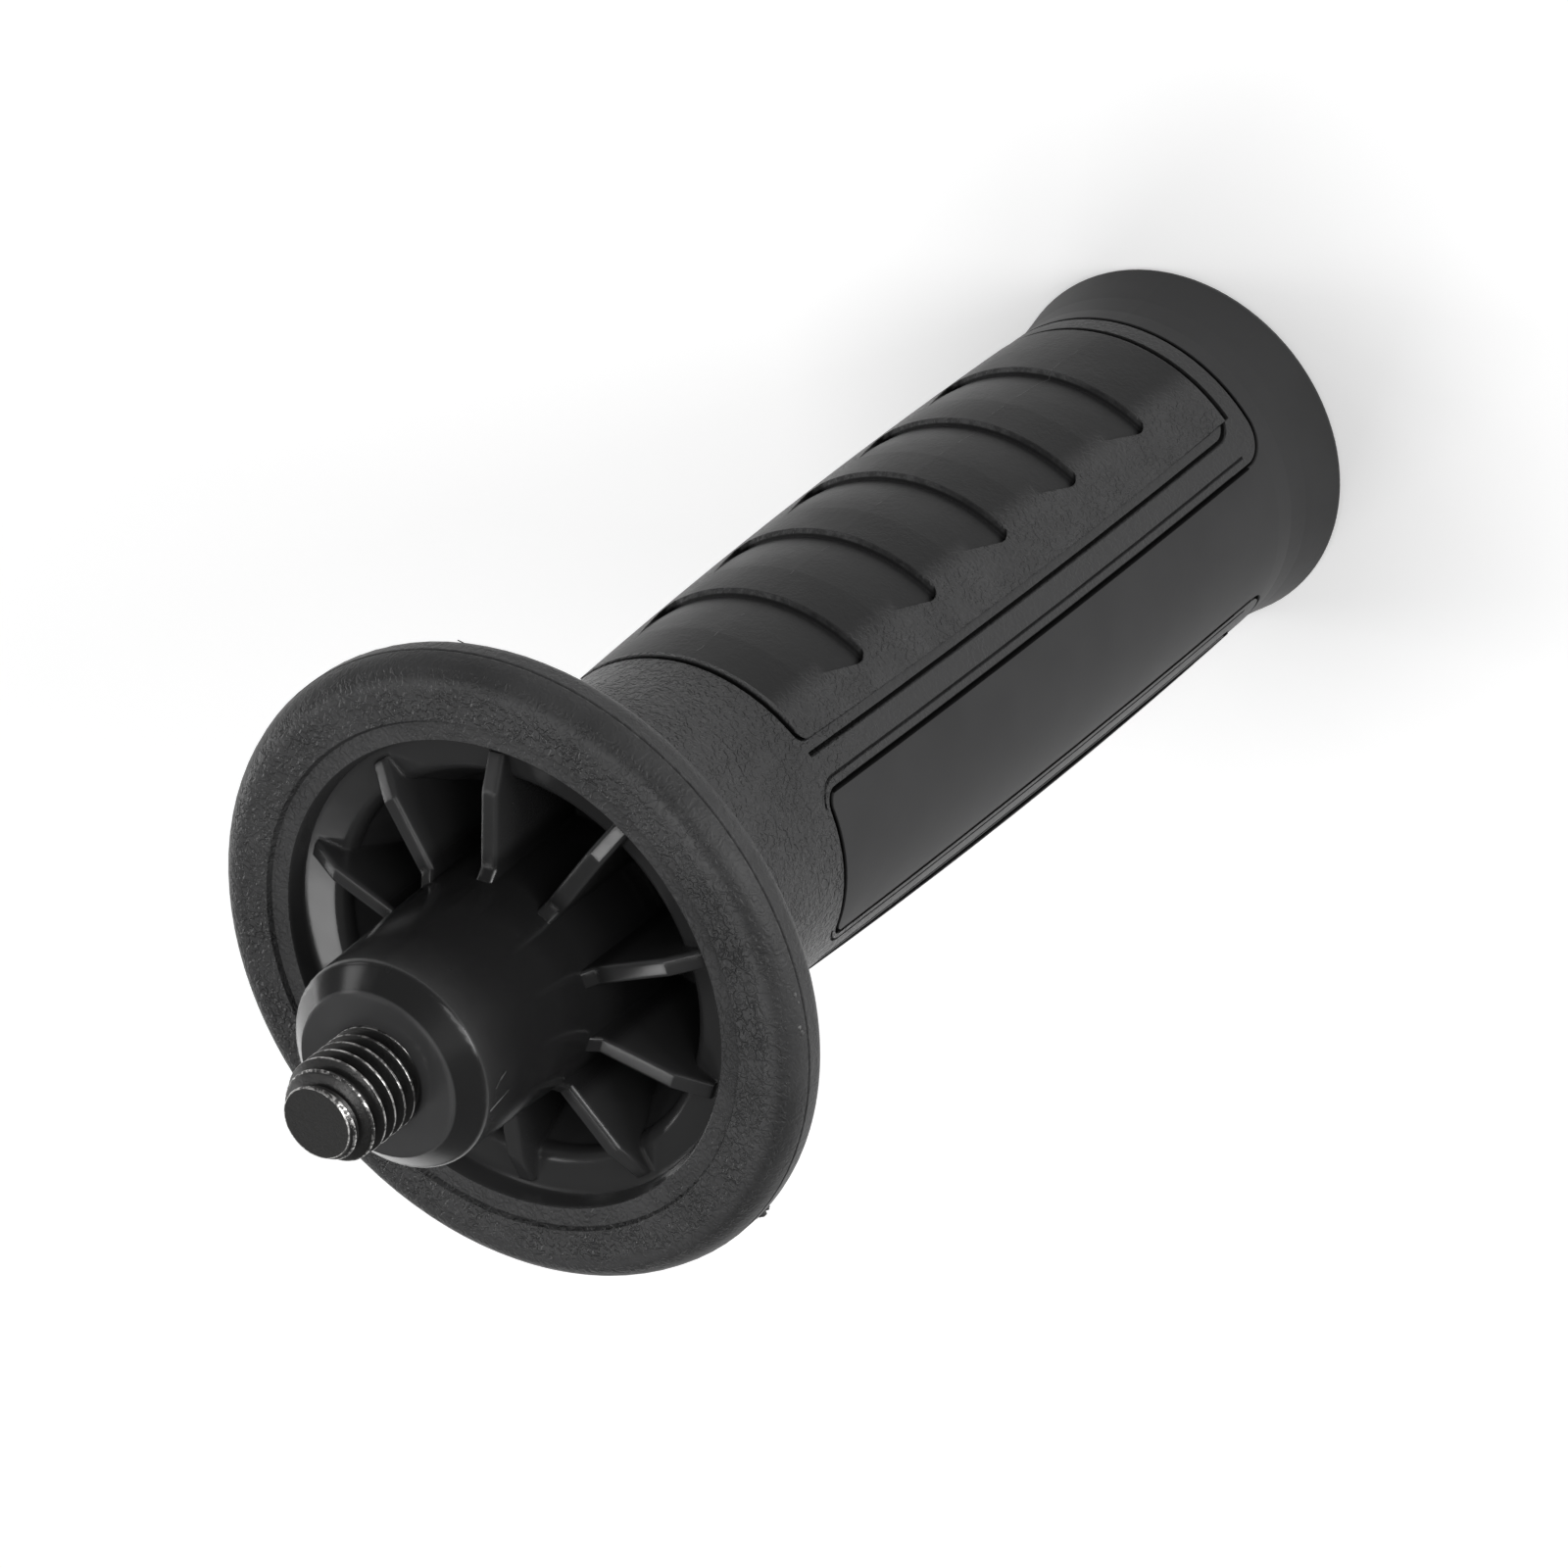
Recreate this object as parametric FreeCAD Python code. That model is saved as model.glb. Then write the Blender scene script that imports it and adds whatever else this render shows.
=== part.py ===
import FreeCAD, Part
import math
import os

# Side handle of an angle grinder, standing on its flared end with the threaded stud upwards.
# Millimetres. Z runs along the handle, X points at the middle of one finger pad.
# The origin is the centre of the flat end face.

# Lengths along the handle
lip_height = 124.0          # end face to the inner lip of the flange
hub_rise = 19.7             # inner lip to the seat face on the hub's nose
stud_exposed = 9.2          # seat face to the tip of the stud
neck_length = 31.2          # inner lip back to the seats of the side pads
pad_setback = 32.45         # inner lip back to the front of the finger pads
flare_length = 11.72        # end face to the strips of the body that frame the pads

# Threaded stud, a hexagon bolt moulded into the hub
stud_radius = 5.0
stud_tip_radius = 3.5
stud_chamfer = 2.4
shank_radius = 4.6          # plain part of the bolt, inside the plastic
bolt_length = 50.0
bolt_head_width = 17.0      # across flats
bolt_head_height = 6.4

# Hub
nose_radius = 10.4
nose_chamfer = 2.2
nose_edge_radius = 0.5
hub_draft = 1.9             # degrees

# Flange ring, radii and depths from the inner lip
wall_foot_radius = 23.3
wall_draft = 0.45
step_radius = 25.6
step_width = 0.3
step_rise = 0.5
bead_radius = 3.2
flange_radius = 31.8
parting_depth = 2.0
parting_groove = 0.25
flange_back_depth = 5.0
back_edge_radius = 1.6
back_fillet_radius = 9.0

# Pocket behind the hub and its ribs
floor_depth = 2.0
floor_slope = 0.5
floor_width = 3.0
floor_edge_run = 1.1        # rounded edge where the floor drops into the well
floor_edge_drop = 1.6
well_depth = 12.0
well_foot_radius = 2.6
well_width = 3.2
rib_count = 10
rib_thickness = 1.8
rib_rise = 0.9              # rib top above the inner lip at the hub
rib_gusset = 0.9
rib_knee_radius = 19.1
rib_end_radius = 22.5
rib_end_drop = 1.5
rib_edge_radius = 0.4

# Grip
neck_radius = 17.2
frame_middle_radius = 18.5  # side pads and the strips of the body
frame_middle_height = 33.0
frame_rear_radius = 18.42
barrel_lead = 1.4           # the barrel starts this far in front of the side pads' seats
strip_stock = 1.0           # moulding stock below the strips, cut away with the flare's room
grip_front_radius = 17.42   # finger pads, which stand a little proud of the strips
grip_middle_radius = 18.78
grip_middle_height = 36.5
grip_rear_radius = 18.48
core_radius = 14.2
pad_edge_x = 11.88          # side edge of the finger pads
pad_edge_gap = 0.12
pad_front_gap = 0.5
pad_corner_radius = 0.8     # front corners of the finger pads
pad_edge_radius = 0.15
strip_end_width = 2.55      # strip of the body between a finger pad and the flare
inner_groove_x = 10.65
inner_groove_width = 0.45
inner_groove_end_width = 0.55
inner_groove_depth = 1.0
inner_groove_start = 0.3    # forward of the finger pads
strip_edge_x = 7.8          # edge of the strips beside the side pads
strip_corner_radius = 3.0
sleeve_gap = 0.35
side_front_gap = 0.55       # wider gap at the front of the side pads
sleeve_end_gap = 0.55       # and where the strips end before the flare
side_corner_radius = 1.5    # front corners of the side pads
crease_offset = 0.65        # shallow line round the seats of the side pads
crease_front_offset = 0.35
crease_width = 0.3
crease_depth = 0.22
crease_end = 15.3
crease_front_x = 6.4

# Finger scoops in each pad
scoop_count = 5
scoop_pitch = 13.15
scoop_setback = 46.0        # inner lip back to the step of the first scoop
scoop_length = 10.0
scoop_depth = 0.68
scoop_step_run = 0.4        # length of the sloping step, along the handle
scoop_half_width = 11.8
scoop_fade_half_width = 8.6
scoop_corner_radius = 1.9
scoop_exit = 0.06            # how far the scoop's curve runs out above the pad

# Flared end
flare_radius = 19.42
flare_crease_radius = 18.53
flare_crease_height = 6.2
flare_waist_radius = 18.33
flare_waist_height = 9.0
flare_hollow = 0.05
end_edge_radius = 0.95
end_wall = 2.6

# Heights worked out from the lengths
seat_z = lip_height + hub_rise
tip_z = seat_z + stud_exposed
side_front_z = lip_height - neck_length
barrel_start_z = side_front_z + barrel_lead
pad_front_z = lip_height - pad_setback
pad_end_z = flare_length + strip_end_width
head_top_z = tip_z - bolt_length
head_bottom_z = head_top_z - bolt_head_height
rib_z = lip_height + rib_rise

UP = FreeCAD.Vector(0, 0, 1)
ORIGIN = FreeCAD.Vector(0, 0, 0)
REACH = flange_radius + 20.0


def at(radius, height):
    return FreeCAD.Vector(radius, 0, height)


def outline(start, *steps):
    # A step of one point is a straight line, and of two points an arc through the first to the second.
    edges = []
    here = at(*start)
    for step in steps:
        end = at(*step[-1])
        if len(step) == 1:
            edges.append(Part.makeLine(here, end))
        else:
            edges.append(Part.Arc(here, at(*step[0]), end).toShape())
        here = end
    edges.append(Part.makeLine(here, at(*start)))
    return Part.Wire(edges)


def turned(wire):
    return Part.Face(wire).revolve(ORIGIN, UP, 360)


def round_between(centre, radius, angle_from, angle_to):
    # Middle and end point of an arc in the profile plane, angles in degrees from +X.
    points = []
    for angle in ((angle_from + angle_to) / 2, angle_to):
        a = math.radians(angle)
        points.append((centre[0] + radius * math.cos(a), centre[1] + radius * math.sin(a)))
    return points


def arc_radius_at(height, points):
    # Radius, at one height, of the circular arc through three (radius, height) points.
    (r1, z1), (r2, z2), (r3, z3) = points
    d = 2 * (r1 * (z2 - z3) + r2 * (z3 - z1) + r3 * (z1 - z2))
    q1, q2, q3 = r1 * r1 + z1 * z1, r2 * r2 + z2 * z2, r3 * r3 + z3 * z3
    centre_r = (q1 * (z2 - z3) + q2 * (z3 - z1) + q3 * (z1 - z2)) / d
    centre_z = (q1 * (r3 - r2) + q2 * (r1 - r3) + q3 * (r2 - r1)) / d
    size = math.hypot(r1 - centre_r, z1 - centre_z)
    return centre_r + math.copysign(math.sqrt(size * size - (height - centre_z) ** 2), r1 - centre_r)


def grip_radius(height):
    return arc_radius_at(height, (
        (grip_rear_radius, flare_length),
        (grip_middle_radius, grip_middle_height),
        (grip_front_radius, pad_front_z)))


def frame_radius(height):
    return arc_radius_at(height, (
        (frame_rear_radius, flare_length),
        (frame_middle_radius, frame_middle_height),
        (neck_radius, barrel_start_z)))


def hub_radius(height):
    return nose_radius + (seat_z - nose_chamfer - height) * math.tan(math.radians(hub_draft))


def barrel_step(radius_at, start, end, inset=0.0):
    middle = (start + end) / 2
    return (radius_at(middle) - inset, middle), (radius_at(end) - inset, end)


def is_along_y(edge):
    return abs(edge.Vertexes[0].Y - edge.Vertexes[1].Y) > 1.0


def at_height(edge, height):
    return all(abs(v.Z - height) < 1e-6 for v in edge.Vertexes)


def slab(x_edge, z_low, z_high, corner_low=0.0, side=1, corner_high=0.0):
    # A block that covers everything beyond x_edge, with its inner corners rounded.
    block = Part.makeBox(
        REACH - x_edge, 2 * REACH, z_high - z_low, FreeCAD.Vector(x_edge, -REACH, z_low))
    for radius, height in ((corner_low, z_low), (corner_high, z_high)):
        corner = [e for e in block.Edges if at_height(e, height) and is_along_y(e)
                  and abs(e.Vertexes[0].X - x_edge) < 1e-6]
        if radius > 0:
            block = block.makeFillet(radius, corner)
    if side < 0:
        block.rotate(ORIGIN, UP, 180)
    return block


def side_block(half_width, z_low, z_high, corner):
    # A block through both side pads, with its two front corners rounded.
    block = Part.makeBox(
        2 * half_width, 2 * REACH, z_high - z_low, FreeCAD.Vector(-half_width, -REACH, z_low))
    return block.makeFillet(corner, [e for e in block.Edges if at_height(e, z_high) and is_along_y(e)])


def side_room(inset):
    # The room below and between the strips for the sleeve, or the sleeve's own limits with an inset.
    low = flare_length - sleeve_end_gap * inset / sleeve_gap
    middle = low + 2 * strip_corner_radius
    edge = strip_edge_x - inset
    foot = Part.makeBox(2 * REACH, 2 * REACH, middle + end_wall, FreeCAD.Vector(-REACH, -REACH, -end_wall))
    for side in (1, -1):
        foot = foot.cut(slab(edge, low, lip_height, strip_corner_radius + inset, side))
    front_gap = side_front_gap * inset / sleeve_gap
    front = side_block(edge, middle, side_front_z - front_gap, side_corner_radius + sleeve_gap - inset)
    return foot.fuse(front)


def core_cylinder():
    return Part.makeCylinder(core_radius, lip_height - end_wall, at(0, end_wall))


def frame_core(depth):
    # Everything deeper than this below the surface of the strips and the neck.
    front = barrel_start_z + barrel_lead
    return turned(outline(
        (0, front),
        ((neck_radius - depth, front),),
        ((neck_radius - depth, barrel_start_z),),
        barrel_step(frame_radius, barrel_start_z, flare_length, depth),
        ((0, flare_length),)))


def threaded_stud():
    shaft = turned(outline(
        (0, tip_z),
        ((stud_tip_radius, tip_z),),
        ((stud_radius, tip_z - stud_chamfer),),
        ((stud_radius, seat_z),),
        ((shank_radius, seat_z),),
        ((shank_radius, head_top_z),),
        ((0, head_top_z),)))
    corners = []
    corner_radius = bolt_head_width / 2 / math.cos(math.radians(30))
    for k in range(7):
        a = math.radians(60 * k)
        corners.append(FreeCAD.Vector(
            corner_radius * math.cos(a), corner_radius * math.sin(a), head_bottom_z))
    head = Part.Face(Part.makePolygon(corners)).extrude(FreeCAD.Vector(0, 0, bolt_head_height))
    return shaft.fuse(head).removeSplitter()


def pocket_space():
    # The ring-shaped pocket between the hub and the flange's inner wall, open at the front.
    floor_z = lip_height - floor_depth
    well_z = lip_height - well_depth
    top = rib_z + rib_gusset + 1.0
    floor_inner = (wall_foot_radius - floor_width, floor_z - floor_slope)
    drop_foot = (floor_inner[0] - floor_edge_run, floor_inner[1] - floor_edge_drop)
    drop_middle = (floor_inner[0] - 0.7 * floor_edge_run, floor_inner[1] - 0.35 * floor_edge_drop)
    well_outer = hub_radius(well_z) + well_width
    foot = (well_outer + well_foot_radius, well_z + 1.8 * well_foot_radius)
    foot_middle = (well_outer + 0.62 * well_foot_radius, well_z + well_foot_radius)
    return turned(outline(
        (hub_radius(top), top),
        ((hub_radius(well_z), well_z),),
        ((well_outer, well_z),),
        (foot_middle, foot),
        (drop_foot,),
        (drop_middle, floor_inner),
        ((wall_foot_radius, floor_z),),
        ((wall_foot_radius + wall_draft, lip_height),),
        ((wall_foot_radius + wall_draft, top),)))


def rib_plates():
    # Flat ribs standing in the pocket: level from the hub to the knee, then sloping to the floor.
    hub_r = hub_radius(rib_z)
    below = lip_height - well_depth - 1.0
    end_z = lip_height - rib_end_drop
    plate = Part.Face(outline(
        (0, below),
        ((0, rib_z + rib_gusset),),
        ((hub_r, rib_z + rib_gusset),),
        ((hub_r + rib_gusset, rib_z),),
        ((rib_knee_radius, lip_height),),
        ((rib_end_radius, end_z),),
        ((rib_end_radius + 0.3, below),))).extrude(FreeCAD.Vector(0, rib_thickness, 0))
    plate.translate(FreeCAD.Vector(0, -rib_thickness / 2, 0))
    top_edges = [e for e in plate.Edges if not is_along_y(e) and all(
        v.Z > end_z - 1e-6 and v.X > hub_r - 1e-6 for v in e.Vertexes)]
    plate = plate.makeFillet(rib_edge_radius, top_edges)
    plates = []
    for k in range(rib_count):
        copy = plate.copy()
        copy.rotate(ORIGIN, UP, 360.0 * k / rib_count)
        plates.append(copy)
    return plates[0].multiFuse(plates[1:])


def body_blank():
    # Hub, flange, neck and the barrel of the grip as one turned solid, its pocket still filled.
    edge_slant = nose_edge_radius * math.sqrt(0.5)
    nose_z = seat_z - nose_chamfer
    ring_z = lip_height + step_rise
    bead_centre = (flange_radius - bead_radius, ring_z - bead_radius)
    parting_z = lip_height - parting_depth
    parting_angle = math.degrees(math.asin((parting_z - bead_centre[1]) / bead_radius))
    parting_r = bead_centre[0] + bead_radius * math.cos(math.radians(parting_angle))
    back_z = lip_height - flange_back_depth
    back_centre = (flange_radius - back_edge_radius, back_z + back_edge_radius)
    fillet_centre = (neck_radius + back_fillet_radius, back_z - back_fillet_radius)
    pocket_top = rib_z + rib_gusset + 0.5
    lip_radius = wall_foot_radius + wall_draft
    stock_z = flare_length - strip_stock
    return turned(outline(
        (0, seat_z),
        ((nose_radius - nose_chamfer, seat_z),),
        ((nose_radius - edge_slant, nose_z + edge_slant),),
        ((nose_radius - 0.25 * edge_slant, nose_z + 0.25 * edge_slant),
         (hub_radius(nose_z - edge_slant), nose_z - edge_slant)),
        ((hub_radius(pocket_top), pocket_top),),
        ((lip_radius, pocket_top),),
        ((lip_radius, lip_height),),
        ((step_radius, lip_height),),
        ((step_radius + step_width, ring_z),),
        ((bead_centre[0], ring_z),),
        round_between(bead_centre, bead_radius, 90, parting_angle),
        ((parting_r - parting_groove, parting_z - parting_groove / 2),),
        ((flange_radius, parting_z - parting_groove),),
        ((flange_radius, back_centre[1]),),
        round_between(back_centre, back_edge_radius, 0, -90),
        ((fillet_centre[0], back_z),),
        round_between(fillet_centre, back_fillet_radius, 90, 180),
        ((neck_radius, barrel_start_z),),
        barrel_step(frame_radius, barrel_start_z, stock_z),
        ((core_radius, stock_z),),
        ((core_radius, end_wall),),
        ((0, end_wall),)))


def seat_crease():
    # Shallow line in the strips, running round the seats of the side pads.
    near = crease_offset
    far = crease_offset + crease_width
    corner = side_corner_radius + sleeve_gap
    front = side_front_z + crease_front_offset
    line = side_block(strip_edge_x + far, crease_end, front + crease_width, corner + far)
    line = line.cut(side_block(strip_edge_x + near, 0, front, corner + near))
    line = line.cut(Part.makeBox(
        2 * crease_front_x, 2 * REACH, lip_height, FreeCAD.Vector(-crease_front_x, -REACH, 0)))
    return line.cut(frame_core(crease_depth))


def handle_body():
    # Hub, ribs, flange, neck, core and the strips that frame the pads, moulded as one piece.
    body = body_blank().cut(pocket_space().cut(rib_plates()))
    core = core_cylinder()
    for side in (1, -1):
        seat = slab(pad_edge_x, pad_end_z, pad_front_z + pad_front_gap, side=side,
                    corner_high=pad_corner_radius + pad_edge_gap)
        groove = slab(inner_groove_x, pad_end_z, pad_front_z + inner_groove_start, strip_corner_radius, side)
        groove = groove.cut(slab(
            inner_groove_x + inner_groove_width, pad_end_z + inner_groove_end_width, lip_height,
            strip_corner_radius, side))
        body = body.cut(seat.cut(core)).cut(groove.cut(frame_core(inner_groove_depth)))
    body = body.cut(side_room(0).cut(core))
    return body.cut(seat_crease()).cut(threaded_stud())


def scoop(height, side):
    # A finger scoop fades in from the flange side and ends at a short sloping step.
    top = height + scoop_length
    middle = height + scoop_length / 2
    low = height - 2 * scoop_step_run
    ring = turned(outline(
        (grip_radius(height) - scoop_depth, height),
        ((grip_radius(middle) - scoop_depth / 4, middle), (grip_radius(top) + scoop_exit, top)),
        ((REACH, top),),
        ((REACH, low),),
        ((grip_radius(height) + scoop_depth, low),)))
    wide = scoop_half_width
    narrow = scoop_fade_half_width
    corners = [
        FreeCAD.Vector(0, -wide, low), FreeCAD.Vector(0, wide, low),
        FreeCAD.Vector(0, narrow, top), FreeCAD.Vector(0, -narrow, top),
        FreeCAD.Vector(0, -wide, low)]
    block = Part.Face(Part.makePolygon(corners)).extrude(FreeCAD.Vector(REACH, 0, 0))
    rounded = [e for e in block.Edges if at_height(e, low)
               and abs(e.Vertexes[0].X - e.Vertexes[1].X) > 1.0]
    cutter = ring.common(block.makeFillet(scoop_corner_radius, rounded))
    if side < 0:
        cutter.rotate(ORIGIN, UP, 180)
    return cutter


def finger_pad(side):
    edge_x = pad_edge_x + pad_edge_gap
    edge_z = pad_front_z - pad_edge_radius
    end_z = pad_end_z + inner_groove_end_width
    blank = turned(outline(
        (0, end_z),
        ((grip_radius(end_z), end_z),),
        barrel_step(grip_radius, end_z, edge_z),
        round_between((grip_radius(edge_z) - pad_edge_radius, edge_z), pad_edge_radius, 0, 90),
        ((0, pad_front_z),)))
    pad = blank.common(slab(edge_x, 0, pad_front_z, side=side, corner_high=pad_corner_radius)).cut(core_cylinder())
    for k in range(scoop_count):
        pad = pad.cut(scoop(lip_height - scoop_setback - k * scoop_pitch, side))
    return pad


def grip_sleeve():
    # The smooth side pads and the flared end, one moulding that closes over the end of the core.
    edge_centre = (flare_radius - end_edge_radius, end_edge_radius)
    slope_middle = ((flare_radius + flare_crease_radius) / 2 - flare_hollow,
                    (end_edge_radius + flare_crease_height) / 2)
    waist_middle = ((flare_crease_radius + flare_waist_radius) / 2 - flare_hollow / 2,
                    (flare_crease_height + flare_waist_height) / 2)
    blank = turned(outline(
        (0, 0),
        ((edge_centre[0], 0),),
        round_between(edge_centre, end_edge_radius, -90, 0),
        (slope_middle, (flare_crease_radius, flare_crease_height)),
        (waist_middle, (flare_waist_radius, flare_waist_height)),
        ((frame_rear_radius, flare_length),),
        barrel_step(frame_radius, flare_length, side_front_z),
        ((0, side_front_z),)))
    return blank.cut(core_cylinder()).common(side_room(sleeve_gap))


def main():
    os.makedirs("parts", exist_ok=True)
    pieces = {
        "threaded_stud": threaded_stud(),
        "handle_body": handle_body(),
        "finger_pad_top": finger_pad(1),
        "finger_pad_bottom": finger_pad(-1),
        "grip_sleeve": grip_sleeve(),
    }
    for name, shape in pieces.items():
        print(name, "solids", len(shape.Solids), "valid", shape.isValid(), "volume", round(shape.Volume, 1))
        shape.exportStep(f"parts/{name}.step")


main()
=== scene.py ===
import math
import random

import bmesh
import bpy
from mathutils import Matrix, Vector


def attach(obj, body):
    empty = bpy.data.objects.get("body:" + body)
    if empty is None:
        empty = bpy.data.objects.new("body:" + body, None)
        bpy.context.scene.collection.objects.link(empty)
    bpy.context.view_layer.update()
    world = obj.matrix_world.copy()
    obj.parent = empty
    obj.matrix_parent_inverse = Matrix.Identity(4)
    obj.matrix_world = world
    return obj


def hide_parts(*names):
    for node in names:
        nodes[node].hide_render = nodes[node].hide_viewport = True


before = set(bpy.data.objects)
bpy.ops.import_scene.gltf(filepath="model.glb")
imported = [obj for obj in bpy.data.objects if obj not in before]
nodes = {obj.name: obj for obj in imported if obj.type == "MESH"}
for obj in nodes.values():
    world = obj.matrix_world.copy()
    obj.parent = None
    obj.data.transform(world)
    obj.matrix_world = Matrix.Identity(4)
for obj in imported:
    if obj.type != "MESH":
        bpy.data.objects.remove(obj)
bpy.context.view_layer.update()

# Side handle of an angle grinder, standing on its flared end. Metres, Z up along the handle.

mm = 0.001
print("frame loaded:", ", ".join(sorted(nodes)))


# helpers for materials
def startMaterial(name):
    material = bpy.data.materials.new(name)
    material.use_nodes = True
    tree = material.node_tree
    shader = tree.nodes["Principled BSDF"]
    return material, tree, shader


def plug(tree, source, target):
    # a node's first output, or one named output as (node, "name"), into an input socket
    if isinstance(source, tuple) and isinstance(source[1], str):
        tree.links.new(source[0].outputs[source[1]], target)
    elif hasattr(source, "outputs"):
        tree.links.new(source.outputs[0], target)
    else:
        target.default_value = source


def calc(tree, operation, first, second=0.0, third=0.0, clamp=False):
    node = tree.nodes.new("ShaderNodeMath")
    node.operation = operation
    node.use_clamp = clamp
    plug(tree, first, node.inputs[0])
    plug(tree, second, node.inputs[1])
    plug(tree, third, node.inputs[2])
    return node


def product(tree, *values):
    # all the values multiplied
    result = values[0]
    for value in values[1:]:
        result = calc(tree, "MULTIPLY", result, value)
    return result


def largest(tree, *values):
    result = values[0]
    for value in values[1:]:
        result = calc(tree, "MAXIMUM", result, value)
    return result


def ramp(tree, source, low, high, toLow=0.0, toHigh=1.0):
    # smooth step of a value between two limits
    node = tree.nodes.new("ShaderNodeMapRange")
    node.interpolation_type = "SMOOTHSTEP"
    plug(tree, source, node.inputs["Value"])
    node.inputs["From Min"].default_value = low
    node.inputs["From Max"].default_value = high
    node.inputs["To Min"].default_value = toLow
    node.inputs["To Max"].default_value = toHigh
    return node


def between(tree, value, low, high):
    # 1 between two limits, 0 outside them
    return product(tree, calc(tree, "GREATER_THAN", value, low), calc(tree, "LESS_THAN", value, high))


def near(tree, value, place, outer, inner):
    # 1 close to a place, fading out from the inner distance to the outer one
    offset = calc(tree, "ABSOLUTE", calc(tree, "SUBTRACT", value, place))
    return ramp(tree, offset, outer, inner)


def blendColour(tree, factor, first, second):
    node = tree.nodes.new("ShaderNodeMix")
    node.data_type = "RGBA"
    plug(tree, factor, node.inputs[0])
    plug(tree, first, node.inputs[6])
    plug(tree, second, node.inputs[7])
    return (node, "Result")


def blendValue(tree, factor, first, second):
    node = tree.nodes.new("ShaderNodeMix")
    node.data_type = "FLOAT"
    plug(tree, factor, node.inputs[0])
    plug(tree, first, node.inputs[2])
    plug(tree, second, node.inputs[3])
    return (node, "Result")


def sway(tree, pattern, amount, middle):
    # a value that a pattern from 0 to 1 carries up and down round its middle
    return calc(tree, "MULTIPLY_ADD", calc(tree, "SUBTRACT", pattern, 0.5), amount, middle)


def noise(tree, coords, size, detail=2.0, roughness=0.5, distortion=0.0):
    # size is the width of the pattern's grains, in metres
    node = tree.nodes.new("ShaderNodeTexNoise")
    tree.links.new(coords, node.inputs["Vector"])
    node.inputs["Scale"].default_value = 1.0 / size
    node.inputs["Detail"].default_value = detail
    node.inputs["Roughness"].default_value = roughness
    node.inputs["Distortion"].default_value = distortion
    return node


def places(tree):
    # object coordinates, their three parts and the distance from the handle's axis
    coords = tree.nodes.new("ShaderNodeTexCoord").outputs["Object"]
    parts = tree.nodes.new("ShaderNodeSeparateXYZ")
    tree.links.new(coords, parts.inputs[0])
    x, y, z = (parts, "X"), (parts, "Y"), (parts, "Z")
    squares = calc(tree, "ADD", product(tree, x, x), product(tree, y, y))
    return coords, x, y, z, calc(tree, "SQRT", squares)


def facing(tree):
    # how far the surface turns to the studded end, from -1 to 1
    parts = tree.nodes.new("ShaderNodeSeparateXYZ")
    tree.links.new(tree.nodes.new("ShaderNodeTexCoord").outputs["Normal"], parts.inputs[0])
    return (parts, "Z")


def bump(tree, height, distance, strength=1.0, under=None):
    node = tree.nodes.new("ShaderNodeBump")
    node.inputs["Distance"].default_value = distance
    plug(tree, strength, node.inputs["Strength"])
    plug(tree, height, node.inputs["Height"])
    if under is not None:
        tree.links.new(under.outputs["Normal"], node.inputs["Normal"])
    return node


def softEdges(tree, radius):
    # sharp edges catch the light as if they were rounded
    node = tree.nodes.new("ShaderNodeBevel")
    node.samples = 6
    plug(tree, radius, node.inputs["Radius"])
    return node


# what the moulded pieces have in common
moulding = {
    "pitLimits": (0.4, 0.6),                # of the grain's noise
    "grainWarp": 0.8,
    "fineSize": 0.5,                        # the fine grain against the coarse one
    "fineShare": 0.2,
    "cloudLimits": (0.35, 0.7),             # where the colour turns dusty
    "patchLimits": (0.3, 0.62),             # where the grain is at its full depth
    "waveStrength": 0.3,
    # painted groove shade sets in between these depths under the barrel
    "grooveDepth": (0.1 * mm, 0.28 * mm),   # under the barrel's surface, where a groove turns dark
    "seamWander": 0.9 * mm,                 # from side to side
    "wanderLength": 3.0 * mm,
    "seamCore": 0.3,                        # share of the seam's width that is at its full strength
    "seamFade": 0.06,
}

# The barrel of the grip as radius = a + b*z + c*z*z in metres, to tell grooves and scoops from its surface
stripBarrel = (18.2586 * mm, 0.01732, -0.303)
padBarrel = (18.1407 * mm, 0.03435, -0.461)


def moldedGrain(tree, coords, size):
    # spark-eroded grain: small pits with worm-like ridges between them
    coarse = noise(tree, coords, size, detail=1.5, distortion=moulding["grainWarp"])
    fine = noise(tree, coords, size * moulding["fineSize"])
    return calc(tree, "MULTIPLY_ADD", fine, moulding["fineShare"], ramp(tree, coarse, *moulding["pitLimits"]))


def patches(tree, coords, size, low):
    # the grain's depth changes from place to place
    return ramp(tree, noise(tree, coords, size), *moulding["patchLimits"], toLow=low)


def dusted(tree, cloud, v):
    # the piece's colour with a paler haze in clouds
    return blendColour(tree, ramp(tree, cloud, *moulding["cloudLimits"]), v["colour"], v["dusty"])


def belowBarrel(tree, barrel, z, radius):
    # how far a point lies below the barrel's surface
    a, b, c = barrel
    surface = calc(tree, "MULTIPLY_ADD", calc(tree, "MULTIPLY_ADD", z, c, b), z, a)
    return calc(tree, "SUBTRACT", surface, radius)


def brokenLine(tree, coords, across, width, pieces, gaps):
    # a thin line where a coordinate is near zero, wandering a little and broken by noise
    wander = moulding["seamWander"]
    drift = noise(tree, coords, moulding["wanderLength"], detail=3.0)
    offset = calc(tree, "ADD", across, calc(tree, "MULTIPLY_ADD", drift, wander, -wander / 2))
    line = near(tree, offset, 0.0, width, width * moulding["seamCore"])
    return product(tree, line, ramp(tree, noise(tree, coords, pieces), gaps, gaps + moulding["seamFade"]))


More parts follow.
